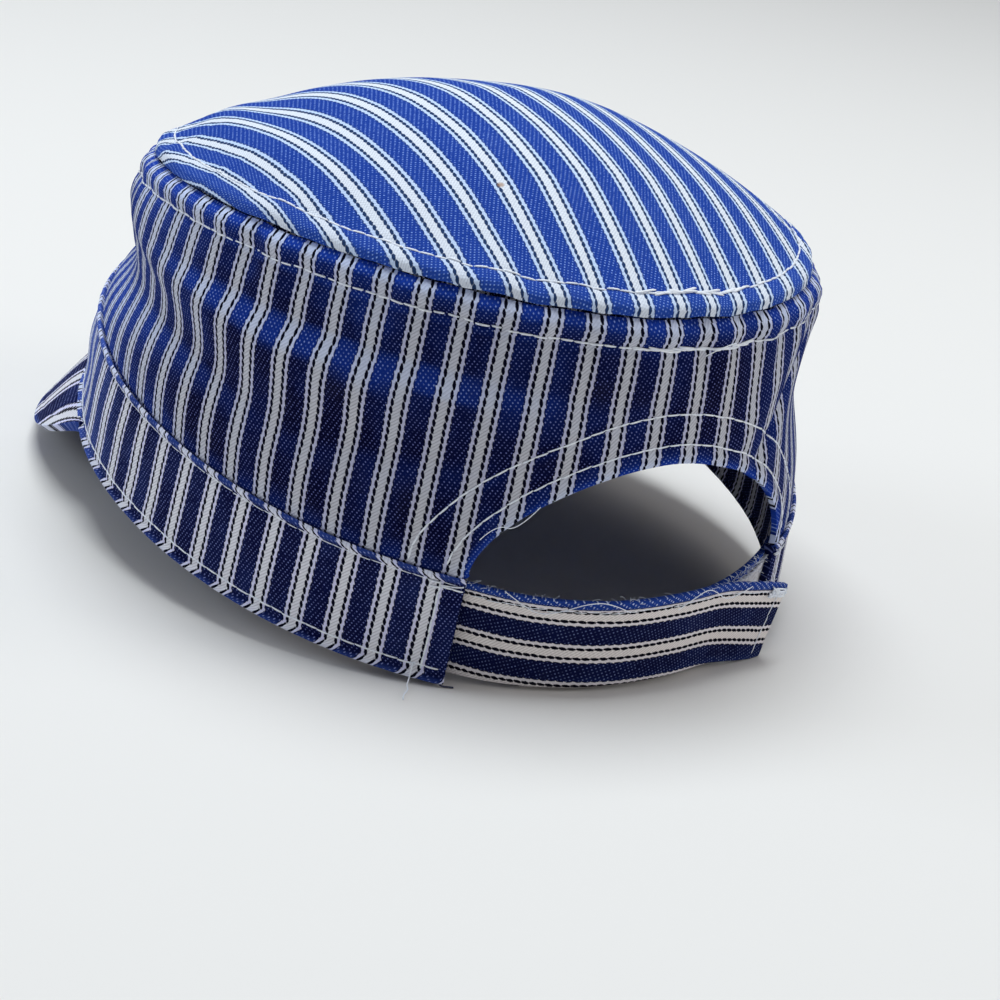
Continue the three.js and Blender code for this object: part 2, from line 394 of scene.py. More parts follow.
def makeDenim(name, dye, stain=None):
    n = Nodes(name)
    tone = denim[dye]
    uv = n.add("ShaderNodeUVMap", uv_map="cloth").outputs[0]
    parts = n.add("ShaderNodeSeparateXYZ")
    n.put(parts.inputs[0], uv)
    across, along = parts.outputs[0], parts.outputs[1]
    # threads wander a little, so no stripe has a ruled edge
    moved = across
    for scale, detail, reach in denim["wander"]:
        drift = n.math("SUBTRACT", n.noise(uv, scale, detail), 0.5)
        moved = n.math("ADD", moved, n.math("MULTIPLY", drift, reach))
    # each crossing thread shifts the lines a step, so they zigzag like saw teeth
    tooth = n.math("FRACT", n.math("DIVIDE", along, denim["beadPitch"]))
    shift = n.math("MULTIPLY", n.math("SUBTRACT", tooth, 0.5), tone["zigzag"])
    moved = n.math("ADD", moved, shift)
    share = n.math("FRACT", n.math("ADD", n.math("DIVIDE", moved, stripe["period"]), 0.5))
    fromMiddle = n.math("ABSOLUTE", n.math("SUBTRACT", share, 0.5))
    fromMiddle = n.math("MULTIPLY", fromMiddle, stripe["period"])
    # twill: steep diagonal ridges, with a light thread showing as dots along them
    twill, dots = denim["twillSlope"], denim["dotSlope"]
    ridges = n.wave(n.slope(across, twill[0], along, twill[1]), denim["twillPitch"])
    weft = n.wave(n.slope(across, dots[0], along, dots[1]), denim["dotPitch"])
    rib = n.wave(n.math("SUBTRACT", along, across), denim["ribPitch"])
    patchy = n.step(n.noise(uv, 1.3, 1), 0.28, 0.62)
    fleck = n.math("MULTIPLY", n.step(n.math("MINIMUM", ridges, weft), 0.1, 0.75), patchy)
    # the ground is lighter where it is worn and where painted light lies on the wall's folds, and
    # darker right beside the stripes
    wearAndLight = n.add("ShaderNodeAttribute", attribute_name="wearAndLight").outputs["Fac"]
    cloud = n.step(n.noise(uv, 0.06, 3), 0.42, 0.8)
    fadedAndLit = n.math("ADD", n.math("MULTIPLY", cloud, denim["cloudFade"]), wearAndLight, clamp=True)
    # the worn tones also serve as the painted light on the wall's folds
    ground = n.blend(fadedAndLit, tone["blue"], tone["wornAndLit"])
    ground = n.blend(fleck, ground, n.blend(fadedAndLit, tone["fleck"], tone["wornAndLitFleck"]))
    wideEnd = denim["wideHalf"]
    navyEnd = wideEnd + denim["navyWidth"]
    thinEnd = navyEnd + denim["thinWidth"]
    beside = n.step(fromMiddle, thinEnd + 0.5, thinEnd + 0.1)
    ground = n.blend(n.math("MULTIPLY", beside, denim["besideShade"]), ground, tone["navy"])
    # the stripe group: wide white, beaded navy, thin white
    white = n.blend(n.step(rib, 0.1, 0.95), tone["white"], tone["whiteShade"])
    white = n.blend(n.step(fromMiddle, wideEnd, wideEnd + 0.2), white, tone["thin"])
    white = n.blend(n.math("MULTIPLY", fadedAndLit, denim["whiteFade"]), white, tone["wornAndLitWhite"])
    # the navy lines are narrowest where a thread crosses them
    bead = n.wave(n.math("SUBTRACT", along, denim["beadPitch"] / 4), denim["beadPitch"])
    beadHalf = n.math("MULTIPLY", bead, denim["beadSwell"])
    beadHalf = n.math("ADD", beadHalf, denim["navyWidth"] / 2 - 0.02)
    fromNavy = n.math("ABSOLUTE", n.math("SUBTRACT", fromMiddle, (wideEnd + navyEnd) / 2))
    inNavy = n.step(n.math("SUBTRACT", beadHalf, fromNavy), -0.05, 0.05)
    crossing = n.math("MULTIPLY", n.step(bead, -0.82, -1.0), denim["crossingShade"])
    navy = n.blend(crossing, tone["navy"], tone["white"])
    atEdge = n.math("ADD", fromMiddle, n.math("MULTIPLY", bead, denim["edgeSwell"]))
    cloth = n.blend(n.step(atEdge, thinEnd - 0.06, thinEnd + 0.06), white, ground)
    cloth = n.blend(inNavy, cloth, navy)
    # handling marks
    dirt = n.step(n.noise(uv, 0.11, 4), 0.52, 0.8)
    cloth = n.blend(n.math("MULTIPLY", dirt, denim["dirt"]), cloth, denim["dirtTone"])
    if stain:
        # a small spot: its place on the cloth and its radius
        distance = n.add("ShaderNodeVectorMath", operation="DISTANCE")
        n.put(distance.inputs[0], uv)
        n.put(distance.inputs[1], (stain[0], stain[1], 0))
        spot = n.step(distance.outputs["Value"], stain[2], stain[2] * 0.4)
        cloth = n.blend(n.math("MULTIPLY", spot, 0.7), cloth, denim["stainTone"])
    height = n.slope(rib, 0.4, weft, 0.25)
    height = n.math("ADD", height, n.math("MULTIPLY", n.noise(uv, 1.7, 2), 1.2))
    shader = n.finish(cloth, denim["roughness"], height, denim["relief"], denim["reliefDepth"])
    shader.inputs["Specular IOR Level"].default_value = 0.04
    return n.material


def makeThreadMaterial(name, light, dark):
    n = Nodes(name)
    place = n.add("ShaderNodeTexCoord").outputs["Object"]
    mottle = n.noise(place, 900, 2)
    colour = n.blend(n.step(mottle, 0.35, 0.7), light, dark)
    shader = n.finish(colour, roughness=0.6, relief=mottle, strength=0.4, depth=0.05)
    shader.inputs["Sheen Weight"].default_value = 0.2
    return n.material


# the top's cloth carries painted light, the wall's cloth painted shade
topDenim = makeDenim("topDenim", "bleachedAndLit", stain=(-35.2, 45.6, 1.0))
wallDenim = makeDenim("wallDenim", "dyedAndShaded")
bandDenim = makeDenim("bandDenim", "doubled")
visorDenim = makeDenim("visorDenim", "doubled")
strapDenim = makeDenim("strapDenim", "strap")
whiteThread = makeThreadMaterial("whiteThread", (0.90, 0.93, 0.98, 1), (0.78, 0.83, 0.93, 1))
darkThread = makeThreadMaterial("darkThread", (0.01, 0.012, 0.04, 1), (0.03, 0.04, 0.10, 1))
loopTape = makeThreadMaterial("loopTape", (0.78, 0.78, 0.82, 1), (0.52, 0.52, 0.58, 1))
print("stage: materials made")

# Side wall
wall = {
    "archColumns": 130,
    "leftColumns": 250,
    "rightColumns": 80,
    "rows": 54,
    "rowSpacing": 1.25,
    "thickness": 1.3,
    "step": 0.6,
    "tuckDown": 1.3,
    "tuckIn": 0.6,
    "swell": 1.6,
    "ripple": 0.5,
    "pucker": 0.95,
    "foldDepth": 3.0,
    "stitchDrop": 5.5,
    "seamTurn": 262,
    "seamRadius": 85,
    "seamDip": (-0.8, 0, 0.9),
    # rows along the upper edge: push, distance from the edge, half width
    "topRows": [(-0.9, 0, 0.8), (1.15, 2.4, 2.2)],
    # the arch's two stitched rows: distance from its edge and depth, and its rolled hem
    "archRows": [(3.7, 0.22), (9.7, 0.2)],
    "archRoll": (0.3, 1.6, 1.4),
    # turn and its spread in degrees, level and its spread as shares of the height, push
    "folds": [
        (96, 34, 0.42, 0.15, -0.42),
        (48, 32, 0.56, 0.09, 0.5),
        (52, 34, 0.70, 0.05, -0.34),
        (84, 30, 0.60, 0.08, 0.25),
        (34, 12, 0.66, 0.07, 0.3),
        (66, 9, 0.45, 0.10, 0.25),
        (60, 40, 0.12, 0.14, 0.35),
        (128, 24, 0.32, 0.24, -1.8),
        (122, 26, 0.78, 0.16, 0.5),
        (152, 18, 0.6, 0.3, 0.5),
        (22, 20, 0.62, 0.16, -0.3),
        (-46, 20, 0.48, 0.26, -1.1),
        (-52, 22, 0.9, 0.12, 0.8),
        (-92, 26, 0.4, 0.2, -0.7),
        (-140, 30, 0.55, 0.2, -0.4),
    ],
    # the wall's mean radius and height, on which the creases are measured
    "unrolled": (78, 55),
    # sharper creases: turn and level of the two ends, width in millimetres, push
    "creases": [
        ((118, 0.62), (92, 0.50), 3.2, -0.9),
        ((104, 0.40), (66, 0.36), 4.0, -0.7),
        ((96, 0.66), (58, 0.62), 4.5, 0.45),
        ((132, 0.86), (118, 0.42), 3.0, -0.8),
        ((60, 0.34), (30, 0.42), 4.5, -0.5),
        ((-42, 0.84), (-15, 0.34), 2.2, -1.5),
        ((-31, 0.84), (-8, 0.44), 3.2, 0.8),
        ((47, 0.66), (33, 0.62), 2.2, 0.7),
        ((64, 0.62), (52, 0.66), 2.4, 0.6),
        ((-50, 0.75), (-62, 0.25), 3.4, 0.7),
        ((-100, 0.5), (-130, 0.42), 4.0, -0.6),
    ],
}


def creasePush(turn, level):
    # distance in millimetres to a crease's line on the unrolled wall
    push = 0
    radius, height = wall["unrolled"]
    for start, end, width, depth in wall["creases"]:
        ax, ay = turnAway(turn, start[0]) * radius, (level - start[1]) * height
        bx, by = math.radians(end[0] - start[0]) * radius, (end[1] - start[1]) * height
        share = ramp(ax * bx + ay * by, 0, bx * bx + by * by)
        away = math.hypot(ax - share * bx, ay - share * by)
        taper = math.sin(math.pi * lerp(0.12, 0.88, share))
        push += depth * taper * bump(away / width)
    return push


def pucker(turn, reach, size):
    # small gathers along a seam, strongest at the thread
    wavy = noise.noise(Vector((turn * 9.5, size, 3.1)))
    wavy += 0.5 * noise.noise(Vector((turn * 26, size, 7.7)))
    return wavy * size * math.exp(-reach * reach / 60)


def wallPoint(turn, level, out=0.0):
    inside = min(max(level, 0), 1)
    fade = math.sin(math.pi * inside)
    height = wallHeight(turn)
    fromTop = (1 - level) * height
    fromFoot = level * height
    push = wall["swell"] * fade - wall["step"] * (1 - inside)
    push += wall["foldDepth"] * foldSum(wall["folds"], turn, inside) * math.sqrt(fade)
    push += creasePush(turn, inside) * min(1, fade * 2.2)
    push += ridge(turnAway(turn, wall["seamTurn"]) * wall["seamRadius"], *wall["seamDip"])
    push += sum(ridge(fromTop, *row) for row in wall["topRows"])
    push += ridge(fromTop, -0.35, wall["stitchDrop"], 0.7)
    push += pucker(turn, fromTop - 4, wall["pucker"])
    spot = Vector((math.sin(turn) * 3.4, math.cos(turn) * 3.4, level * 2.4))
    push += wall["ripple"] * noise.noise(spot) * fade
    for offset, depth in wall["archRows"]:
        push -= depth * bump(archDistance(turn, fromFoot, offset) / 0.7)
    push += ridge(archDistance(turn, fromFoot, 0), *wall["archRoll"])
    plan = [lerp(a, b, level) for a, b in zip(form["brow"], form["crown"])]
    x, y = ovalPoint(plan, turn, push + out)
    return Vector((x, y, lerp(form["bandHeight"] + form["gap"], seamZ(turn), level)))


def wallWearAndLight(turn, level):
    # faded on edges, towards the front and on the far side; lighter on the folds' upper sides, which is
    # painted light
    height = wallHeight(turn)
    inside = min(max(level, 0.01), 0.99)
    above, below = wallPoint(turn, inside + 0.01), wallPoint(turn, inside - 0.01)
    slope = (above.xy.length - below.xy.length) / (0.02 * height)
    # painted light: the folds' upward-facing sides are made lighter, as if lit from above
    upward = min(max(-slope - 0.17, 0) * 1.7, 0.6) * bump(turnAway(turn, 76))
    degrees = math.degrees(turn)
    front = 0.5 * ramp(degrees, 76, 34)
    far = 0.32 * ramp(-degrees, 12, 22)
    hem = 0.75 * bump(archDistance(turn, level * height, 0) / 1.6)
    lip = 0.5 * bump((1 - level) * height / 4)
    foot = 0.2 * bump(level * height / 3)
    patch = 0.16 * noise.noise(Vector((turn * 2.6, level * 2.2, 31.0)))
    return min(max(upward + front + far + hem + lip + foot + patch, 0), 1)


def wallCut(turn, level):
    # the stripes lean a little and draw together towards the top
    share = level / 0.91
    start = lerp(stripe["wallStart"], stripe["stitchStart"], share)
    period = lerp(stripe["period"], stripe["stitchPeriod"], share)
    foot = lengthAt(browLengths, turn)
    length = lerp(foot, lengthAt(crownLengths, turn), level)
    # past the part that leans they straighten up again
    upright = 0.065 * max(0, -50 - foot) - 0.111 * max(0, foot - 150)
    return (start - length) / period * stripe["period"] + upright * level


archTurn = math.asin(form["archHalfWidth"] / form["brow"][0])


def wallTurns():
    # from the side seam round the back and on to the seam, closest at the arch's feet
    archCount, leftCount = wall["archColumns"], wall["leftColumns"]
    rightCount = wall["rightColumns"]
    halfTurn = math.pi / 2
    arch = [math.asin(math.sin(lerp(-halfTurn, halfTurn, i / archCount)) * math.sin(archTurn))
            for i in range(archCount + 1)]
    seam = math.radians(wall["seamTurn"])
    left = [lerp(archTurn, seam, i / leftCount) for i in range(1, leftCount + 1)]
    right = [lerp(seam - 2 * math.pi, -archTurn, i / rightCount) for i in range(rightCount)]
    return [*right, *arch, *left]


def makeSideWall():
    turns = wallTurns()[::-1]
    columns = len(turns) - 1
    cloth = addGrid("sideWall", columns, wall["rows"])

    def placeAt(x, y):
        turn = turns[round((x + 1) / 2 * columns)]
        share = ((y + 1) / 2) ** wall["rowSpacing"]
        height = wallHeight(turn)
        foot = archHeight(turn) / height
        if foot == 0:
            foot = -wall["tuckDown"] / height
        level = lerp(foot, 1, share)
        point = wallPoint(turn, level, -wall["tuckIn"] if level < -0.01 else 0)
        return point, wallCut(turn, level), level * height, wallWearAndLight(turn, level)

    layCloth(cloth, placeAt)
    thicken(cloth, wall["thickness"], 0.3)
    finishPiece(cloth, wallDenim, "crown_denim", "side_wall")


makeSideWall()
print("stage: side wall made")

# Top panel
top = {
    "around": 340,
    "rings": 46,
    "fineRings": 14,
    "fineStep": 0.006,
    "poleGap": 0.03,
    "radius": 78,
    "thickness": 1.3,
    "edgeOut": 0.9,
    "curlIn": 0.01125,
    "stitchIn": 5.0,
    "pucker": 0.62,
    "ripple": 0.45,
    # push, distance from the rim, half width: rows at the rim, waves at the wearer's left
    "rimRows": [(-1.0, 0, 0.9), (0.2, 2.6, 1.7)],
    "leftWaves": [(0.8, 15, 5), (-0.8, 25, 6)],
    "leftTurn": (108, 38),
    # where the stripes lie across the panel: millimetres from the middle, count of stripes
    "lines": [
        (-70.9, 15.5), (-66, 14.6), (-60, 13.65), (-18.6, 9), (-11.2, 8), (-3.2, 7), (5.6, 6),
        (15.3, 5), (25.0, 4), (34.3, 3), (43.4, 2), (52.0, 1), (60.5, 0), (66.3, -1), (70.9, -1.9),
    ],
}
crownMiddle = (form["crown"][1] - form["crown"][2]) / math.pi


def topPoint(turn, share, out=0.0):
    x, y = ovalPoint(form["crown"], turn, top["edgeOut"])
    level = lerp(form["seamHeight"], seamZ(turn), share)
    rise = form["domeRise"] * (1 - share ** form["domeRoundness"])
    reach = (1 - share) * math.hypot(x, y - crownMiddle)
    # the rim curls under into the seam
    share -= top["curlIn"] * bump(reach / 0.8)
    z = level + rise + form["gap"] + top["thickness"]
    z += sum(ridge(reach, *row) for row in top["rimRows"])
    z += ridge(reach, -0.22, top["stitchIn"], 0.6)
    z += pucker(turn + 3.3, reach - 4, top["pucker"])
    left = bump(turnAway(turn, top["leftTurn"][0]) / math.radians(top["leftTurn"][1]))
    z += left * sum(ridge(reach, *wave) for wave in top["leftWaves"])
    spot = Vector((x * share * 0.035, y * share * 0.035, 5.0))
    z += top["ripple"] * noise.noise(spot) * min(1, reach / 12)
    normal = Vector((x * share / 110, (y - crownMiddle) * share / 130, 1)).normalized()
    return Vector((x * share, lerp(crownMiddle, y, share), z)) + normal * out


def topCut(x, y):
    # the stripes drift a little sideways towards the back
    start = 40
    drift = 0.13 * max(0, y - start) - 0.05 * min(20, max(0, start - y))
    x -= drift * ramp(-x, -40, 22)
    for (low, first), (high, last) in zip(top["lines"], top["lines"][1:]):
        if x <= high:
            break
    return -stripe["period"] * lerp(first, last, (x - low) / (high - low))


def makeTopPanel():
    deselectAll()
    bpy.ops.mesh.primitive_circle_add(vertices=top["around"], radius=1, fill_type="NGON")
    cloth = bpy.context.object
    cloth.name = "topPanel"
    cloth.data.name = "topPanel"
    bpy.ops.object.mode_set(mode="EDIT")
    bpy.ops.mesh.select_all(action="SELECT")
    radius = 1.0
    for ring in range(top["rings"]):
        size = (radius - top["poleGap"]) / (top["rings"] - ring)
        if ring < top["fineRings"]:
            size = top["fineStep"]
        bpy.ops.mesh.inset(thickness=size, use_even_offset=True)
        radius -= size
    bpy.ops.mesh.poke()
    bpy.ops.object.mode_set(mode="OBJECT")

    def placeAt(x, y):
        share = min(math.hypot(x, y), 1)
        turn = math.atan2(x, y)
        wornAndLit = 0.3 * bump((1 - share) * top["radius"] / 5)
        # the stripes run on evenly where the rim curls under
        edge = ovalPoint(form["crown"], turn, top["edgeOut"])
        across, along = edge[0] * share, lerp(crownMiddle, edge[1], share)
        return topPoint(turn, share), topCut(across, along), (along - crownMiddle) * 1.05, wornAndLit

    layCloth(cloth, placeAt)
    thicken(cloth, top["thickness"], 0)
    finishPiece(cloth, topDenim, "crown_denim", "top_panel")


makeTopPanel()
print("stage: top panel made")

# Headband
band = {
    "columns": 420,
    "rows": 44,
    "thickness": 2.0,
    "roll": 1.5,
    "rollOut": 0.55,
    "rimStitch": 3.2,
    "endStitch": 4.8,
    "frontWear": 0.9,
    # as the side wall's folds
    "folds": [
        (126, 9, 0.55, 0.3, 1.3),
        (117, 8, 0.4, 0.3, -1.1),
        (138, 10, 0.4, 0.4, -0.8),
        (100, 14, 0.6, 0.35, 0.5),
        (84, 12, 0.35, 0.3, -0.4),
        (60, 12, 0.6, 0.3, 0.3),
        (-70, 16, 0.5, 0.4, 0.5),
        (-120, 16, 0.5, 0.4, -0.5),
    ],
}


def bandPoint(turn, level, out=0.0):
    height = form["bandHeight"]
    fromTop = (1 - level) * height
    fromRim = level * height
    push = form["bandFlare"] * (1 - level) + foldSum(band["folds"], turn, level)
    for edge in (fromTop, fromRim):
        if edge < band["roll"]:
            across = (edge - band["roll"] / 2) / (band["roll"] / 2)
            push += band["rollOut"] * math.sqrt(max(0, 1 - across * across))
        push += ridge(edge, -0.3, band["roll"] + 0.3, 0.5)
    push += ridge(fromRim, -0.22, band["rimStitch"], 0.6)
    push += 0.3 * noise.noise(Vector((turn * 6, level * 1.5, 11.0))) * math.sin(math.pi * level)
    push += ridge(min(fromTop, fromRim), 0.12, 2, 3) * noise.noise(Vector((turn * 34, 2.0, 4.0)))
    fromEnd = (abs(turnAway(turn, 0)) - archTurn) * form["brow"][0]
    push += ridge(fromEnd, -0.5, 0, 0.8) + ridge(fromEnd, -0.18, band["endStitch"], 0.6)
    x, y = ovalPoint(form["brow"], turn, push + out)
    return Vector((x, y, height * level))


def makeHeadband():
    cloth = addGrid("bandCloth", band["columns"], band["rows"])

    def placeAt(x, y):
        turn = lerp(2 * math.pi - archTurn, archTurn, (x + 1) / 2)
        plain = (y + 1) / 2
        level = lerp(plain, 0.5 - 0.5 * math.cos(math.pi * plain), 0.45)
        height = form["bandHeight"]
        rolled = max(0, band["roll"] - min(level, 1 - level) * height)
        length = lengthAt(browLengths, turn)
        across = stripe["bandStart"] - length + rolled * 1.1
        degrees = math.degrees(turn)
        front = band["frontWear"] * ramp(degrees, 92, 26) * ramp(-degrees, -185, 45)
        wornAndLit = 0.5 * min(1, rolled) + front + 0.1 * noise.noise(Vector((turn * 12, level * 2, 0)))
        return bandPoint(turn, level), across, level * height, max(0, wornAndLit)

    layCloth(cloth, placeAt)
    thicken(cloth, band["thickness"], 0.35)
    finishPiece(cloth, bandDenim, "band_denim", "headband")


makeHeadband()
print("stage: headband made")

# Visor
visor = {
    "columns": 150,
    "rows": 40,
    "thickness": 2.4,
    "halfTurn": 71,
    "depth": 36,
    "droop": 47,
    "sideDroop": 69,
    "sideBend": 2.4,
    "taper": 2.8,
    "hornTaper": 1.2,
    "curl": 1.15,
    "stitchIn": 3.5,
}


def visorDepth(across):
    return visor["depth"] * (1 - abs(across) ** visor["taper"]) ** visor["hornTaper"]


def visorPoint(across, share, out=0.0):
    turn = math.pi + across * math.radians(visor["halfTurn"])
    side = 1 - (1 - across * across) ** visor["sideBend"]
    droop = math.radians(lerp(visor["droop"], visor["sideDroop"], side))
    root = Vector(ovalPoint(form["brow"], turn, form["bandFlare"] - band["thickness"]))
    rim = Vector(ovalPoint(form["brow"], turn, form["bandFlare"]))
    outward = (rim - root).normalized()
    depth = visorDepth(across)
    reach = share * (band["thickness"] + depth * math.cos(droop))
    down = depth * math.sin(droop) * share ** visor["curl"]
    z = -form["gap"] - down + out
    z += 0.3 * noise.noise(Vector((across * 4, share * 2, 21.0))) * share
    z += ridge((1 - share) * depth, -0.25, visor["stitchIn"], 0.7) * min(1, depth / 12)
    return Vector((root.x + outward.x * reach, root.y + outward.y * reach, z))


def makeVisor():
    cloth = addGrid("visorCloth", visor["columns"], visor["rows"])

    def placeAt(x, y):
        share = ((y + 1) / 2) ** 0.85
        point = visorPoint(-x, share)
        wornAndLit = 0.6 * bump((1 - share) * visor["depth"] / 1.5)
        return point, point.x, point.y * 1.2, wornAndLit

    layCloth(cloth, placeAt)
    thicken(cloth, visor["thickness"], 0.8)
    finishPiece(cloth, visorDenim, "visor_denim", "visor")


makeVisor()
print("stage: visor made")

# Straps
strap = {
    "columns": 150,
    "rows": 44,
    "thickness": 1.5,
    "face": 1.29,  # the cloth's outer face, before its ripple and folded edges
    "slant": 0.055,
    "width": 19.0,
    "rootDrop": 1.7,
    "rootRise": 1.5,
    # share of the opening's half turn, out in thicknesses, lift in widths
    "outer": [
        (1.195, 0, 0.1), (1, 0, 0.1), (0.74, 0.8, 0.105), (0.45, 1.3, 0.12), (0.1, 1.35, 0.13),
        (-0.2, 1.35, 0.145), (-0.5, 1.7, 0.13), (-0.76, 3.6, 0.05), (-0.95, 5.4, -0.04),
    ],
    "inner": [
        (0.62, 0, 0), (0.26, 0, 0.01), (-0.13, 0, 0.06), (-0.5, 0, 0.11), (-1, 0, 0.14),
        (-1.195, 0, 0.14),
    ],
}


def routePoint(route, share):
    # a smooth curve through the route's rows
    spot = share * (len(route) - 1)
    i = min(int(spot), len(route) - 2)
    t = spot - i
    rows = [route[min(max(k, 0), len(route) - 1)] for k in (i - 1, i, i + 1, i + 2)]
    values = []
    for a, b, c, d in zip(*rows):
        values.append(0.5 * (2 * b + (c - a) * t + (2 * a - 5 * b + 4 * c - d) * t * t
                             + (3 * b - a - 3 * c + d) * t * t * t))
    turn, out, lift = values
    tucked = band["thickness"] + form["gap"] + strap["thickness"]
    x, y = ovalPoint(form["brow"], turn * archTurn, out * strap["thickness"] - tucked)
    return Vector((x, y, lift * strap["width"]))


def floorZ(y):
    tilt = math.radians(standing["tilt"])
    return (y * math.sin(tilt) - standing["up"]) / math.cos(tilt)


def strapSpot(route, along, height, spread):
    # along from 0 to 1, height from the lower edge in widths, spread out from the inner face
    lower, upper = 0, 0
    if route is strap["outer"]:
        along *= 1 - strap["slant"] * (1 - height)
        lower = strap["rootDrop"] * (1 - min(1, along / 0.5))
        upper = strap["rootRise"] * (1 - max(0, (along - 0.55) / 0.45) ** 2)
    at = routePoint(route, along)
    ahead = routePoint(route, min(along + 0.01, 1)) - routePoint(route, max(along - 0.01, 0))
    outward = Vector((ahead.y, -ahead.x, 0)).normalized()
    if outward.y < 0:
        outward.negate()
    low = max(at.z - lower, floorZ(at.y + outward.y * spread) + 0.02)
    spot = at + outward * spread
    spot.z = lerp(low, at.z + strap["width"] + upper, height)
    return spot, outward


def strapFace(route, along, height):
    # the outer face as it lies, with its ripple and its thick folded edges
    ripple = 0.35 * noise.noise(Vector((along * 7, height * 1.3, 4.0)))
    roll = 0.25 * (bump((1 - height) * 9 - 0.6) + bump(height * 9 - 0.6))
    spot, outward = strapSpot(route, along, height, strap["face"])
    return spot + outward * (ripple * 0.5 + roll), outward


def makeStrapCloth(name, route, slot, node, first, hem):
    # first and hem, each at the root and past the middle, in millimetres from the upper edge:
    # where the first stripe lies, and how wide the folded edge is
    cloth = addGrid(name, strap["columns"], strap["rows"])
    steps = 60
    knots = [routePoint(route, i / steps) for i in range(steps + 1)]
    total = sum((after - before).length for before, after in zip(knots, knots[1:]))
    flip = knots[0].x > knots[-1].x

    def placeAt(x, y):
        along = (x + 1) / 2 if flip else (1 - x) / 2
        height = (y + 1) / 2
        point = strapFace(route, along, height)[0]
        full = (strapSpot(route, along, 1, 0)[0] - strapSpot(route, along, 0, 0)[0]).z
        fromTop = (1 - height) * full
        across = lerp(first[0], first[1], min(1, along / 0.5)) - fromTop
        wornAndLit = 0.25 * bump(height * 14)
        # the folded upper edge shows the plain blue between two stripes
        folded = fromTop - lerp(hem[0], hem[1], min(1, along / 0.5))
        if folded < 0:
            across = stripe["period"] / 2 + folded * 0.8
            wornAndLit = 0.9
        return point, across, along * total, wornAndLit

    layCloth(cloth, placeAt)
    thicken(cloth, strap["face"], 0.3)
    finishPiece(cloth, strapDenim, slot, node)


makeStrapCloth("outerStrap", strap["outer"], "strap_denim", "outer_strap", (3.1, 3.8), (1.0, 1.6))
makeStrapCloth("innerStrap", strap["inner"], "strap_denim", "inner_strap", (1.0, 1.0), (2.0, 2.0))
print("stage: straps made")

# Loop tape on the inner strap
tape = {
    "columns": 150,
    "rows": 16,
    "thickness": 0.4,
    # its reach as shares of the strap's length and height
    "from": 0.04,
    "to": 0.93,
    "low": 0.1,
    "high": 0.89,
    "fuzz": 380,
    "fuzzRadius": 0.055,
}


def makeLoopTape():
    cloth = addGrid("loopTapeStrip", tape["columns"], tape["rows"])

    def placeAt(x, y):
        along = lerp(tape["from"], tape["to"], (1 - x) / 2)
        height = lerp(tape["low"], tape["high"], (y + 1) / 2)
        spot, outward = strapSpot(strap["inner"], along, height, strap["face"])
        rough = 0.12 * noise.noise(Vector((along * 160, height * 40, 9)))
        return spot + outward * (tape["thickness"] + rough), along * 100, height * 20, 0

    layCloth(cloth, placeAt)
    thicken(cloth, tape["thickness"], 0)
    finishPiece(cloth, loopTape, "loop_tape")


makeLoopTape()
print("stage: loop tape made")

# Stitches
sewing = {
    "radius": 0.24,
    "fineRadius": 0.2,
    "length": 3.0,
    "wander": 0.10,
    "lift": 0.6,
    "offFloor": 0.3,
    "tangles": 9,
    "frays": 60,
}


def makeStitch():
    # one stitch along X: a thin rod whose ends dip into the cloth
    deselectAll()
    bpy.ops.mesh.primitive_cylinder_add(vertices=6, radius=1, depth=1, rotation=(0, math.pi / 2, 0))
    rod = bpy.context.object
    bpy.ops.object.transform_apply(location=False, rotation=True, scale=False)
    bpy.ops.object.mode_set(mode="EDIT")
    for cut in (-0.32, 0, 0.32):
        bpy.ops.mesh.select_all(action="SELECT")
        bpy.ops.mesh.bisect(plane_co=(cut, 0, 0), plane_no=(1, 0, 0))
    bpy.ops.object.mode_set(mode="OBJECT")
    for vertex in rod.data.vertices:
        toEnd = abs(vertex.co.x) / 0.5
        thin = 1 - 0.4 * toEnd ** 5
        vertex.co.y *= thin
        vertex.co.z = vertex.co.z * thin - 1.1 * toEnd ** 5
    bpy.ops.object.shade_smooth()
    return rod


stitch = makeStitch()


def sewRow(pointAt, start, end, radius=sewing["radius"], length=sewing["length"], gap=0.0,
           wander=sewing["wander"], lift=sewing["lift"]):
    # copies of the stitch along a row; pointAt gives a spot of the cloth for a share and a rise
    steps = 400
    spots = [pointAt(lerp(start, end, i / steps), 0) for i in range(steps + 1)]
    lengths = [0.0]
    for before, here in zip(spots, spots[1:]):
        lengths.append(lengths[-1] + (here - before).length)

    def shareAt(distance):
        distance = min(max(distance, 0), lengths[-1])
        low, high = 0, steps
        while high - low > 1:
            middle = (low + high) // 2
            if lengths[middle] > distance:
                high = middle
            else:
                low = middle
        part = (distance - lengths[low]) / max(lengths[high] - lengths[low], 1e-9)
        return lerp(start, end, (low + part) / steps)

    made = []
    at = 0.0
    while at + length * 0.6 < lengths[-1]:
        here = min(length * random.uniform(0.88, 1.1), lengths[-1] - at)
        first, last = shareAt(at), shareAt(at + here)
        middle = (first + last) / 2
        a, b = pointAt(first, 0), pointAt(last, 0)
        out = (pointAt(middle, 1) - pointAt(middle, 0)).normalized()
        ahead = (b - a).normalized()
        side = out.cross(ahead).normalized()
        out = ahead.cross(side)
        centre = pointAt(middle, 0) + out * radius * lift + side * random.uniform(-wander, wander)
        ahead = (ahead + side * random.uniform(-wander, wander) * 0.5).normalized()
        side = out.cross(ahead).normalized()
        turned = Matrix((ahead, side, out)).transposed().to_4x4()
        sized = Matrix.Diagonal((here, radius, radius * 0.62, 1))
        copy = stitch.copy()
        copy.data = stitch.data.copy()
        copy.data.transform(Matrix.Translation(centre) @ turned @ sized)
        copy.data.transform(stand @ Matrix.Scale(mm, 4))
        bpy.context.scene.collection.objects.link(copy)
        made.append(copy)
        at += here + gap
    return made


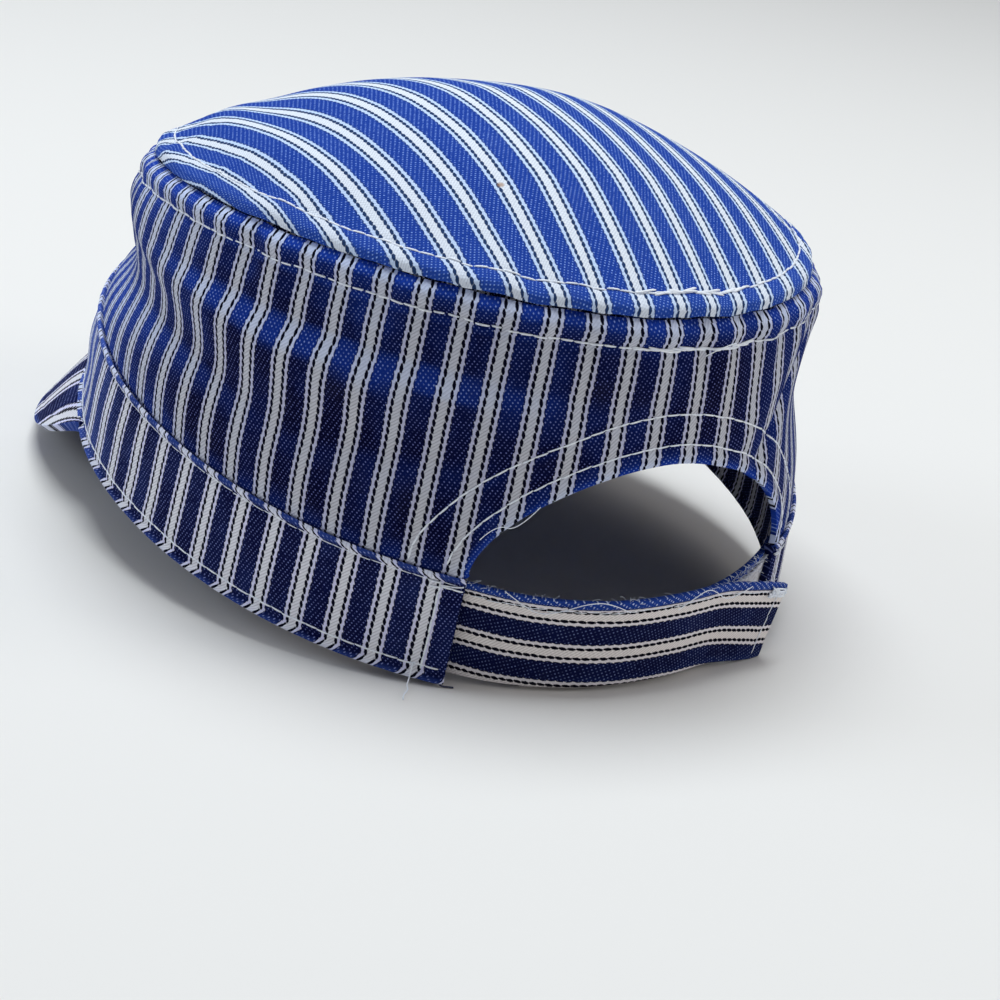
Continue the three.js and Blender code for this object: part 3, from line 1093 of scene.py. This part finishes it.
def strand(points, radius):
    # a bare thread end through a few points
    data = bpy.data.curves.new("strand", "CURVE")
    data.dimensions = "3D"
    data.bevel_depth = radius * mm
    data.bevel_resolution = 1
    data.resolution_u = 6
    spline = data.splines.new("NURBS")
    spline.points.add(len(points) - 1)
    for knot, point in zip(spline.points, points):
        knot.co = (*(stand @ (Vector(point) * mm)), 1)
    spline.use_endpoint_u = True
    spline.order_u = 3
    thread = bpy.data.objects.new("strand", data)
    bpy.context.scene.collection.objects.link(thread)
    deselectAll()
    thread.select_set(True)
    bpy.context.view_layer.objects.active = thread
    bpy.ops.object.convert(target="MESH")
    return bpy.context.object


def joinThreads(name, threads, material, slot):
    deselectAll()
    for thread in threads:
        thread.select_set(True)
    bpy.context.view_layer.objects.active = threads[0]
    bpy.ops.object.join()
    sewn = bpy.context.object
    sewn.name = name
    sewn.data.name = name
    bpy.ops.object.shade_smooth()
    finishPiece(sewn, material, slot)


def wallRow(drop):
    def pointAt(turn, out):
        return wallPoint(turn, 1 - drop / wallHeight(turn), out)
    return pointAt


def topRow(reach):
    return lambda turn, out: topPoint(turn, 1 - reach / top["radius"], out)


def archRow(offset):
    n = form["archRoundness"]

    def pointAt(angle, out):
        wide = form["archHalfWidth"] + offset
        tall = form["archHeight"] + offset
        across = wide * math.copysign(abs(math.cos(angle)) ** (2 / n), math.cos(angle))
        height = tall * abs(math.sin(angle)) ** (2 / n)
        turn = math.asin(max(-1, min(1, across / form["brow"][0])))
        return wallPoint(turn, height / wallHeight(turn), out)
    return pointAt


def bandRow(fromRim):
    return lambda turn, out: bandPoint(turn, fromRim / form["bandHeight"], out)


def bandEndRow(inset, side):
    turn = archTurn + inset / form["brow"][0]
    return lambda level, out: bandPoint(side * turn, level, out)


def visorRow(inset):
    def pointAt(across, out):
        return visorPoint(across, max(0.02, 1 - inset / max(visorDepth(across), 0.1)), out)
    return pointAt


def looseEnds():
    # a loose end of the wall's row, and one at the arch's foot: turn, level and rise of their knots
    knots = [
        (0.11, [(-4, 0.875, 0.3), (-6, 0.91, 1.2), (-9, 0.93, 1.0), (-10, 0.92, 0.5)]),
        (0.09, [(30, 0.16, 0.3), (28, 0.24, 1.4), (25, 0.22, 1.0), (22, 0.32, 0.5)]),
    ]
    ends = []
    for radius, route in knots:
        points = [wallPoint(math.radians(turn), level, out) for turn, level, out in route]
        ends.append(strand(points, radius))
    # the rim row's end hangs out by the band's end and lies on the floor
    turn = archTurn + 6.5 / form["brow"][0]
    rim = bandPoint(turn, 0, 0.5)
    outward = (bandPoint(turn, 0, 1) - bandPoint(turn, 0, 0)).normalized()
    route = [bandPoint(turn, 0.14, 0.3), bandPoint(turn, 0.06, 0.6), rim]
    for reach, aside in ((1.6, 0.2), (4.0, -0.5), (6.6, 0.6), (8.6, 0.2)):
        down = rim + outward * reach + Vector((aside, 0, 0))
        down.z = floorZ(down.y) + sewing["offFloor"]
        route.append(down)
    return [*ends, strand(route, 0.16)]


def darkTail():
    # the dark thread's end at the band end's lower corner
    corner = bandPoint(archTurn + 0.01, 0.0, 0.2)
    drifts = ((0.4, -0.6, 1.0), (0, 0, 0), (-0.8, 0.6, -1.0), (-1.6, 0.9, -1.5), (-2.6, 1.6, -1.2))
    route = [corner + Vector(drift) for drift in drifts]
    for point in route:
        point.z = max(point.z, floorZ(point.y) + sewing["offFloor"])
    return strand(route, 0.2)


def sewCap():
    rad = math.radians
    fine = sewing["fineRadius"]
    first, last = rad(wall["seamTurn"]) - 2 * math.pi, rad(wall["seamTurn"])
    threads = []
    crownRows = (wallRow(wall["stitchDrop"]), topRow(top["stitchIn"]))
    for row in crownRows:
        threads += sewRow(row, first, last)
    # the messy start and end of both rows, at the back
    for row in crownRows:
        for shift in (0, 1):
            threads += sewRow(row, rad(-15 - shift), rad(7 + 3 * shift), radius=0.28, length=4.2,
                              gap=-0.7, wander=0.45, lift=0.9)
    for (offset, depth), foot in zip(wall["archRows"], (4, 1)):
        threads += sewRow(archRow(offset), rad(foot), rad(180 - foot), radius=fine)
    bandStart, bandEnd = archTurn + 0.02, 2 * math.pi - archTurn - 0.02
    threads += sewRow(bandRow(band["rimStitch"]), bandStart, bandEnd, radius=0.21)
    upperRow = bandRow(form["bandHeight"] - band["roll"] - 0.45)
    threads += sewRow(upperRow, bandStart, bandEnd, radius=0.13, lift=0.4)
    for side in (-1, 1):
        threads += sewRow(bandEndRow(band["endStitch"], side), 0.1, 0.93, radius=0.22)
        # bar tack over the band end's upper corner
        for shift in (0, 0.7):
            threads += sewRow(bandRow(form["bandHeight"] - 2.2 - shift), side * (archTurn + 0.004),
                              side * (archTurn + 0.105 - 0.02 * shift), radius=fine, length=2.6,
                              gap=-0.3, wander=0.3, lift=1.1)
    threads += sewRow(visorRow(visor["stitchIn"]), -0.9, 0.9, radius=fine)
    # the side seam's own row
    beside = last - 3.0 / wall["seamRadius"]
    threads += sewRow(lambda level, out: wallPoint(beside, level, out), 0.04, 0.9, radius=fine)
    threads += looseEnds()
    joinThreads("topstitching", threads, whiteThread, "crown_denim")
    joinThreads("threadTail", [darkTail()], darkThread, "band_denim")


sewCap()


def sewStraps():
    outer = strap["outer"]

    def topEdge(along, out):
        spot, outward = strapFace(outer, along, 0.885)
        return spot + outward * out

    def freeEnd(height, out):
        spot, outward = strapFace(outer, 0.955, height)
        return spot + outward * out

    threads = sewRow(topEdge, 0.15, 0.97, radius=0.11, lift=0.5, wander=0.2)
    threads += sewRow(freeEnd, 0.08, 0.95, radius=0.14)
    # tangled thread at the free end's upper corner
    for i in range(sewing["tangles"]):
        points = []
        for k in range(6):
            spot, outward = strapFace(outer, random.uniform(0.90, 0.99), random.uniform(0.82, 0.97))
            points.append(spot + outward * random.uniform(0.1, 0.8))
        threads.append(strand(points, 0.2))
    # two long ends along the upper edge
    for start, end in ((0.22, 0.48), (0.60, 0.82)):
        points = []
        for k in range(7):
            along = lerp(start, end, k / 6)
            spot, outward = strapFace(outer, along, 0.93 + 0.10 * math.sin(k * 1.3 + start * 9))
            points.append(spot + outward * random.uniform(0.2, 0.9))
        threads.append(strand(points, 0.10))
    # frayed fibres along the upper edge
    for i in range(sewing["frays"]):
        along, height = random.uniform(0.12, 0.97), random.uniform(0.96, 1.0)
        spot = strapSpot(outer, along, height, strap["thickness"] * random.uniform(0.2, 1))[0]
        drift = Vector((random.uniform(-2.5, 2.5), random.uniform(-0.5, 0.5), random.uniform(0.1, 1.1)))
        rise = Vector((0, random.uniform(-0.4, 0.6), random.uniform(0.1, 0.7)))
        middle = spot + drift * 0.5 + rise
        threads.append(strand([spot, middle, spot + drift], 0.035))
    joinThreads("strapThreads", threads, whiteThread, "strap_denim")


sewStraps()


def fuzzTape():
    # the loop tape's fuzz, standing out along its upper edge
    threads = []
    for i in range(tape["fuzz"]):
        along = random.choice((random.uniform(0.3, 0.92), random.gauss(0.66, 0.07)))
        height = random.uniform(0.7, 0.97)
        spot = strapSpot(strap["inner"], along, height, strap["thickness"])[0]
        tip = Vector((random.uniform(-2.2, 2.2), random.uniform(0.0, 0.6), random.uniform(0.0, 1.8)))
        bend = tip * 0.5 + Vector((0, 0.3, random.uniform(0.2, 0.9)))
        threads.append(strand([spot, spot + bend, spot + tip], tape["fuzzRadius"]))
    joinThreads("tapeFuzz", threads, whiteThread, "loop_tape")


fuzzTape()
bpy.data.objects.remove(stitch)
print("stage: sewing done")

# Floor and light
studio = {
    "floor": (0.80, 0.78, 0.75, 1),
    "size": 12,
    "roughness": 0.9,
    "sky": (0.93, 0.95, 1.0, 1),
    "skyStrength": 0.26,
    "aim": (0, 0, 0.05),
    # place in metres, size, power, colour
    "lights": {
        "keyLight": ((-0.05, -0.25, 1.5), 0.9, 20, (0.90, 0.96, 1)),
        "leftLight": ((1.3, -0.9, 0.8), 0.8, 6.6, (0.76, 0.86, 1)),
        "rightLight": ((-1.2, 0.9, 0.7), 0.8, 5.5, (1, 0.97, 0.95)),
    },
}


def makeStudio():
    deselectAll()
    bpy.ops.mesh.primitive_plane_add(size=studio["size"])
    ground = bpy.context.object
    ground.name = "floor"
    n = Nodes("floor")
    n.finish(studio["floor"], studio["roughness"])
    ground.data.materials.append(n.material)
    world = bpy.context.scene.world or bpy.data.worlds.new("world")
    bpy.context.scene.world = world
    world.use_nodes = True
    sky = world.node_tree.nodes["Background"]
    sky.inputs[0].default_value = studio["sky"]
    sky.inputs[1].default_value = studio["skyStrength"]
    bpy.context.scene.view_settings.view_transform = "Standard"
    for name, (spot, size, power, colour) in studio["lights"].items():
        data = bpy.data.lights.new(name, "AREA")
        data.size = size
        data.energy = power
        data.color = colour
        lamp = bpy.data.objects.new(name, data)
        bpy.context.scene.collection.objects.link(lamp)
        lamp.location = spot
        aimed = Vector(studio["aim"]) - Vector(spot)
        lamp.rotation_euler = aimed.to_track_quat("-Z", "Y").to_euler()


makeStudio()
print("stage: studio set")
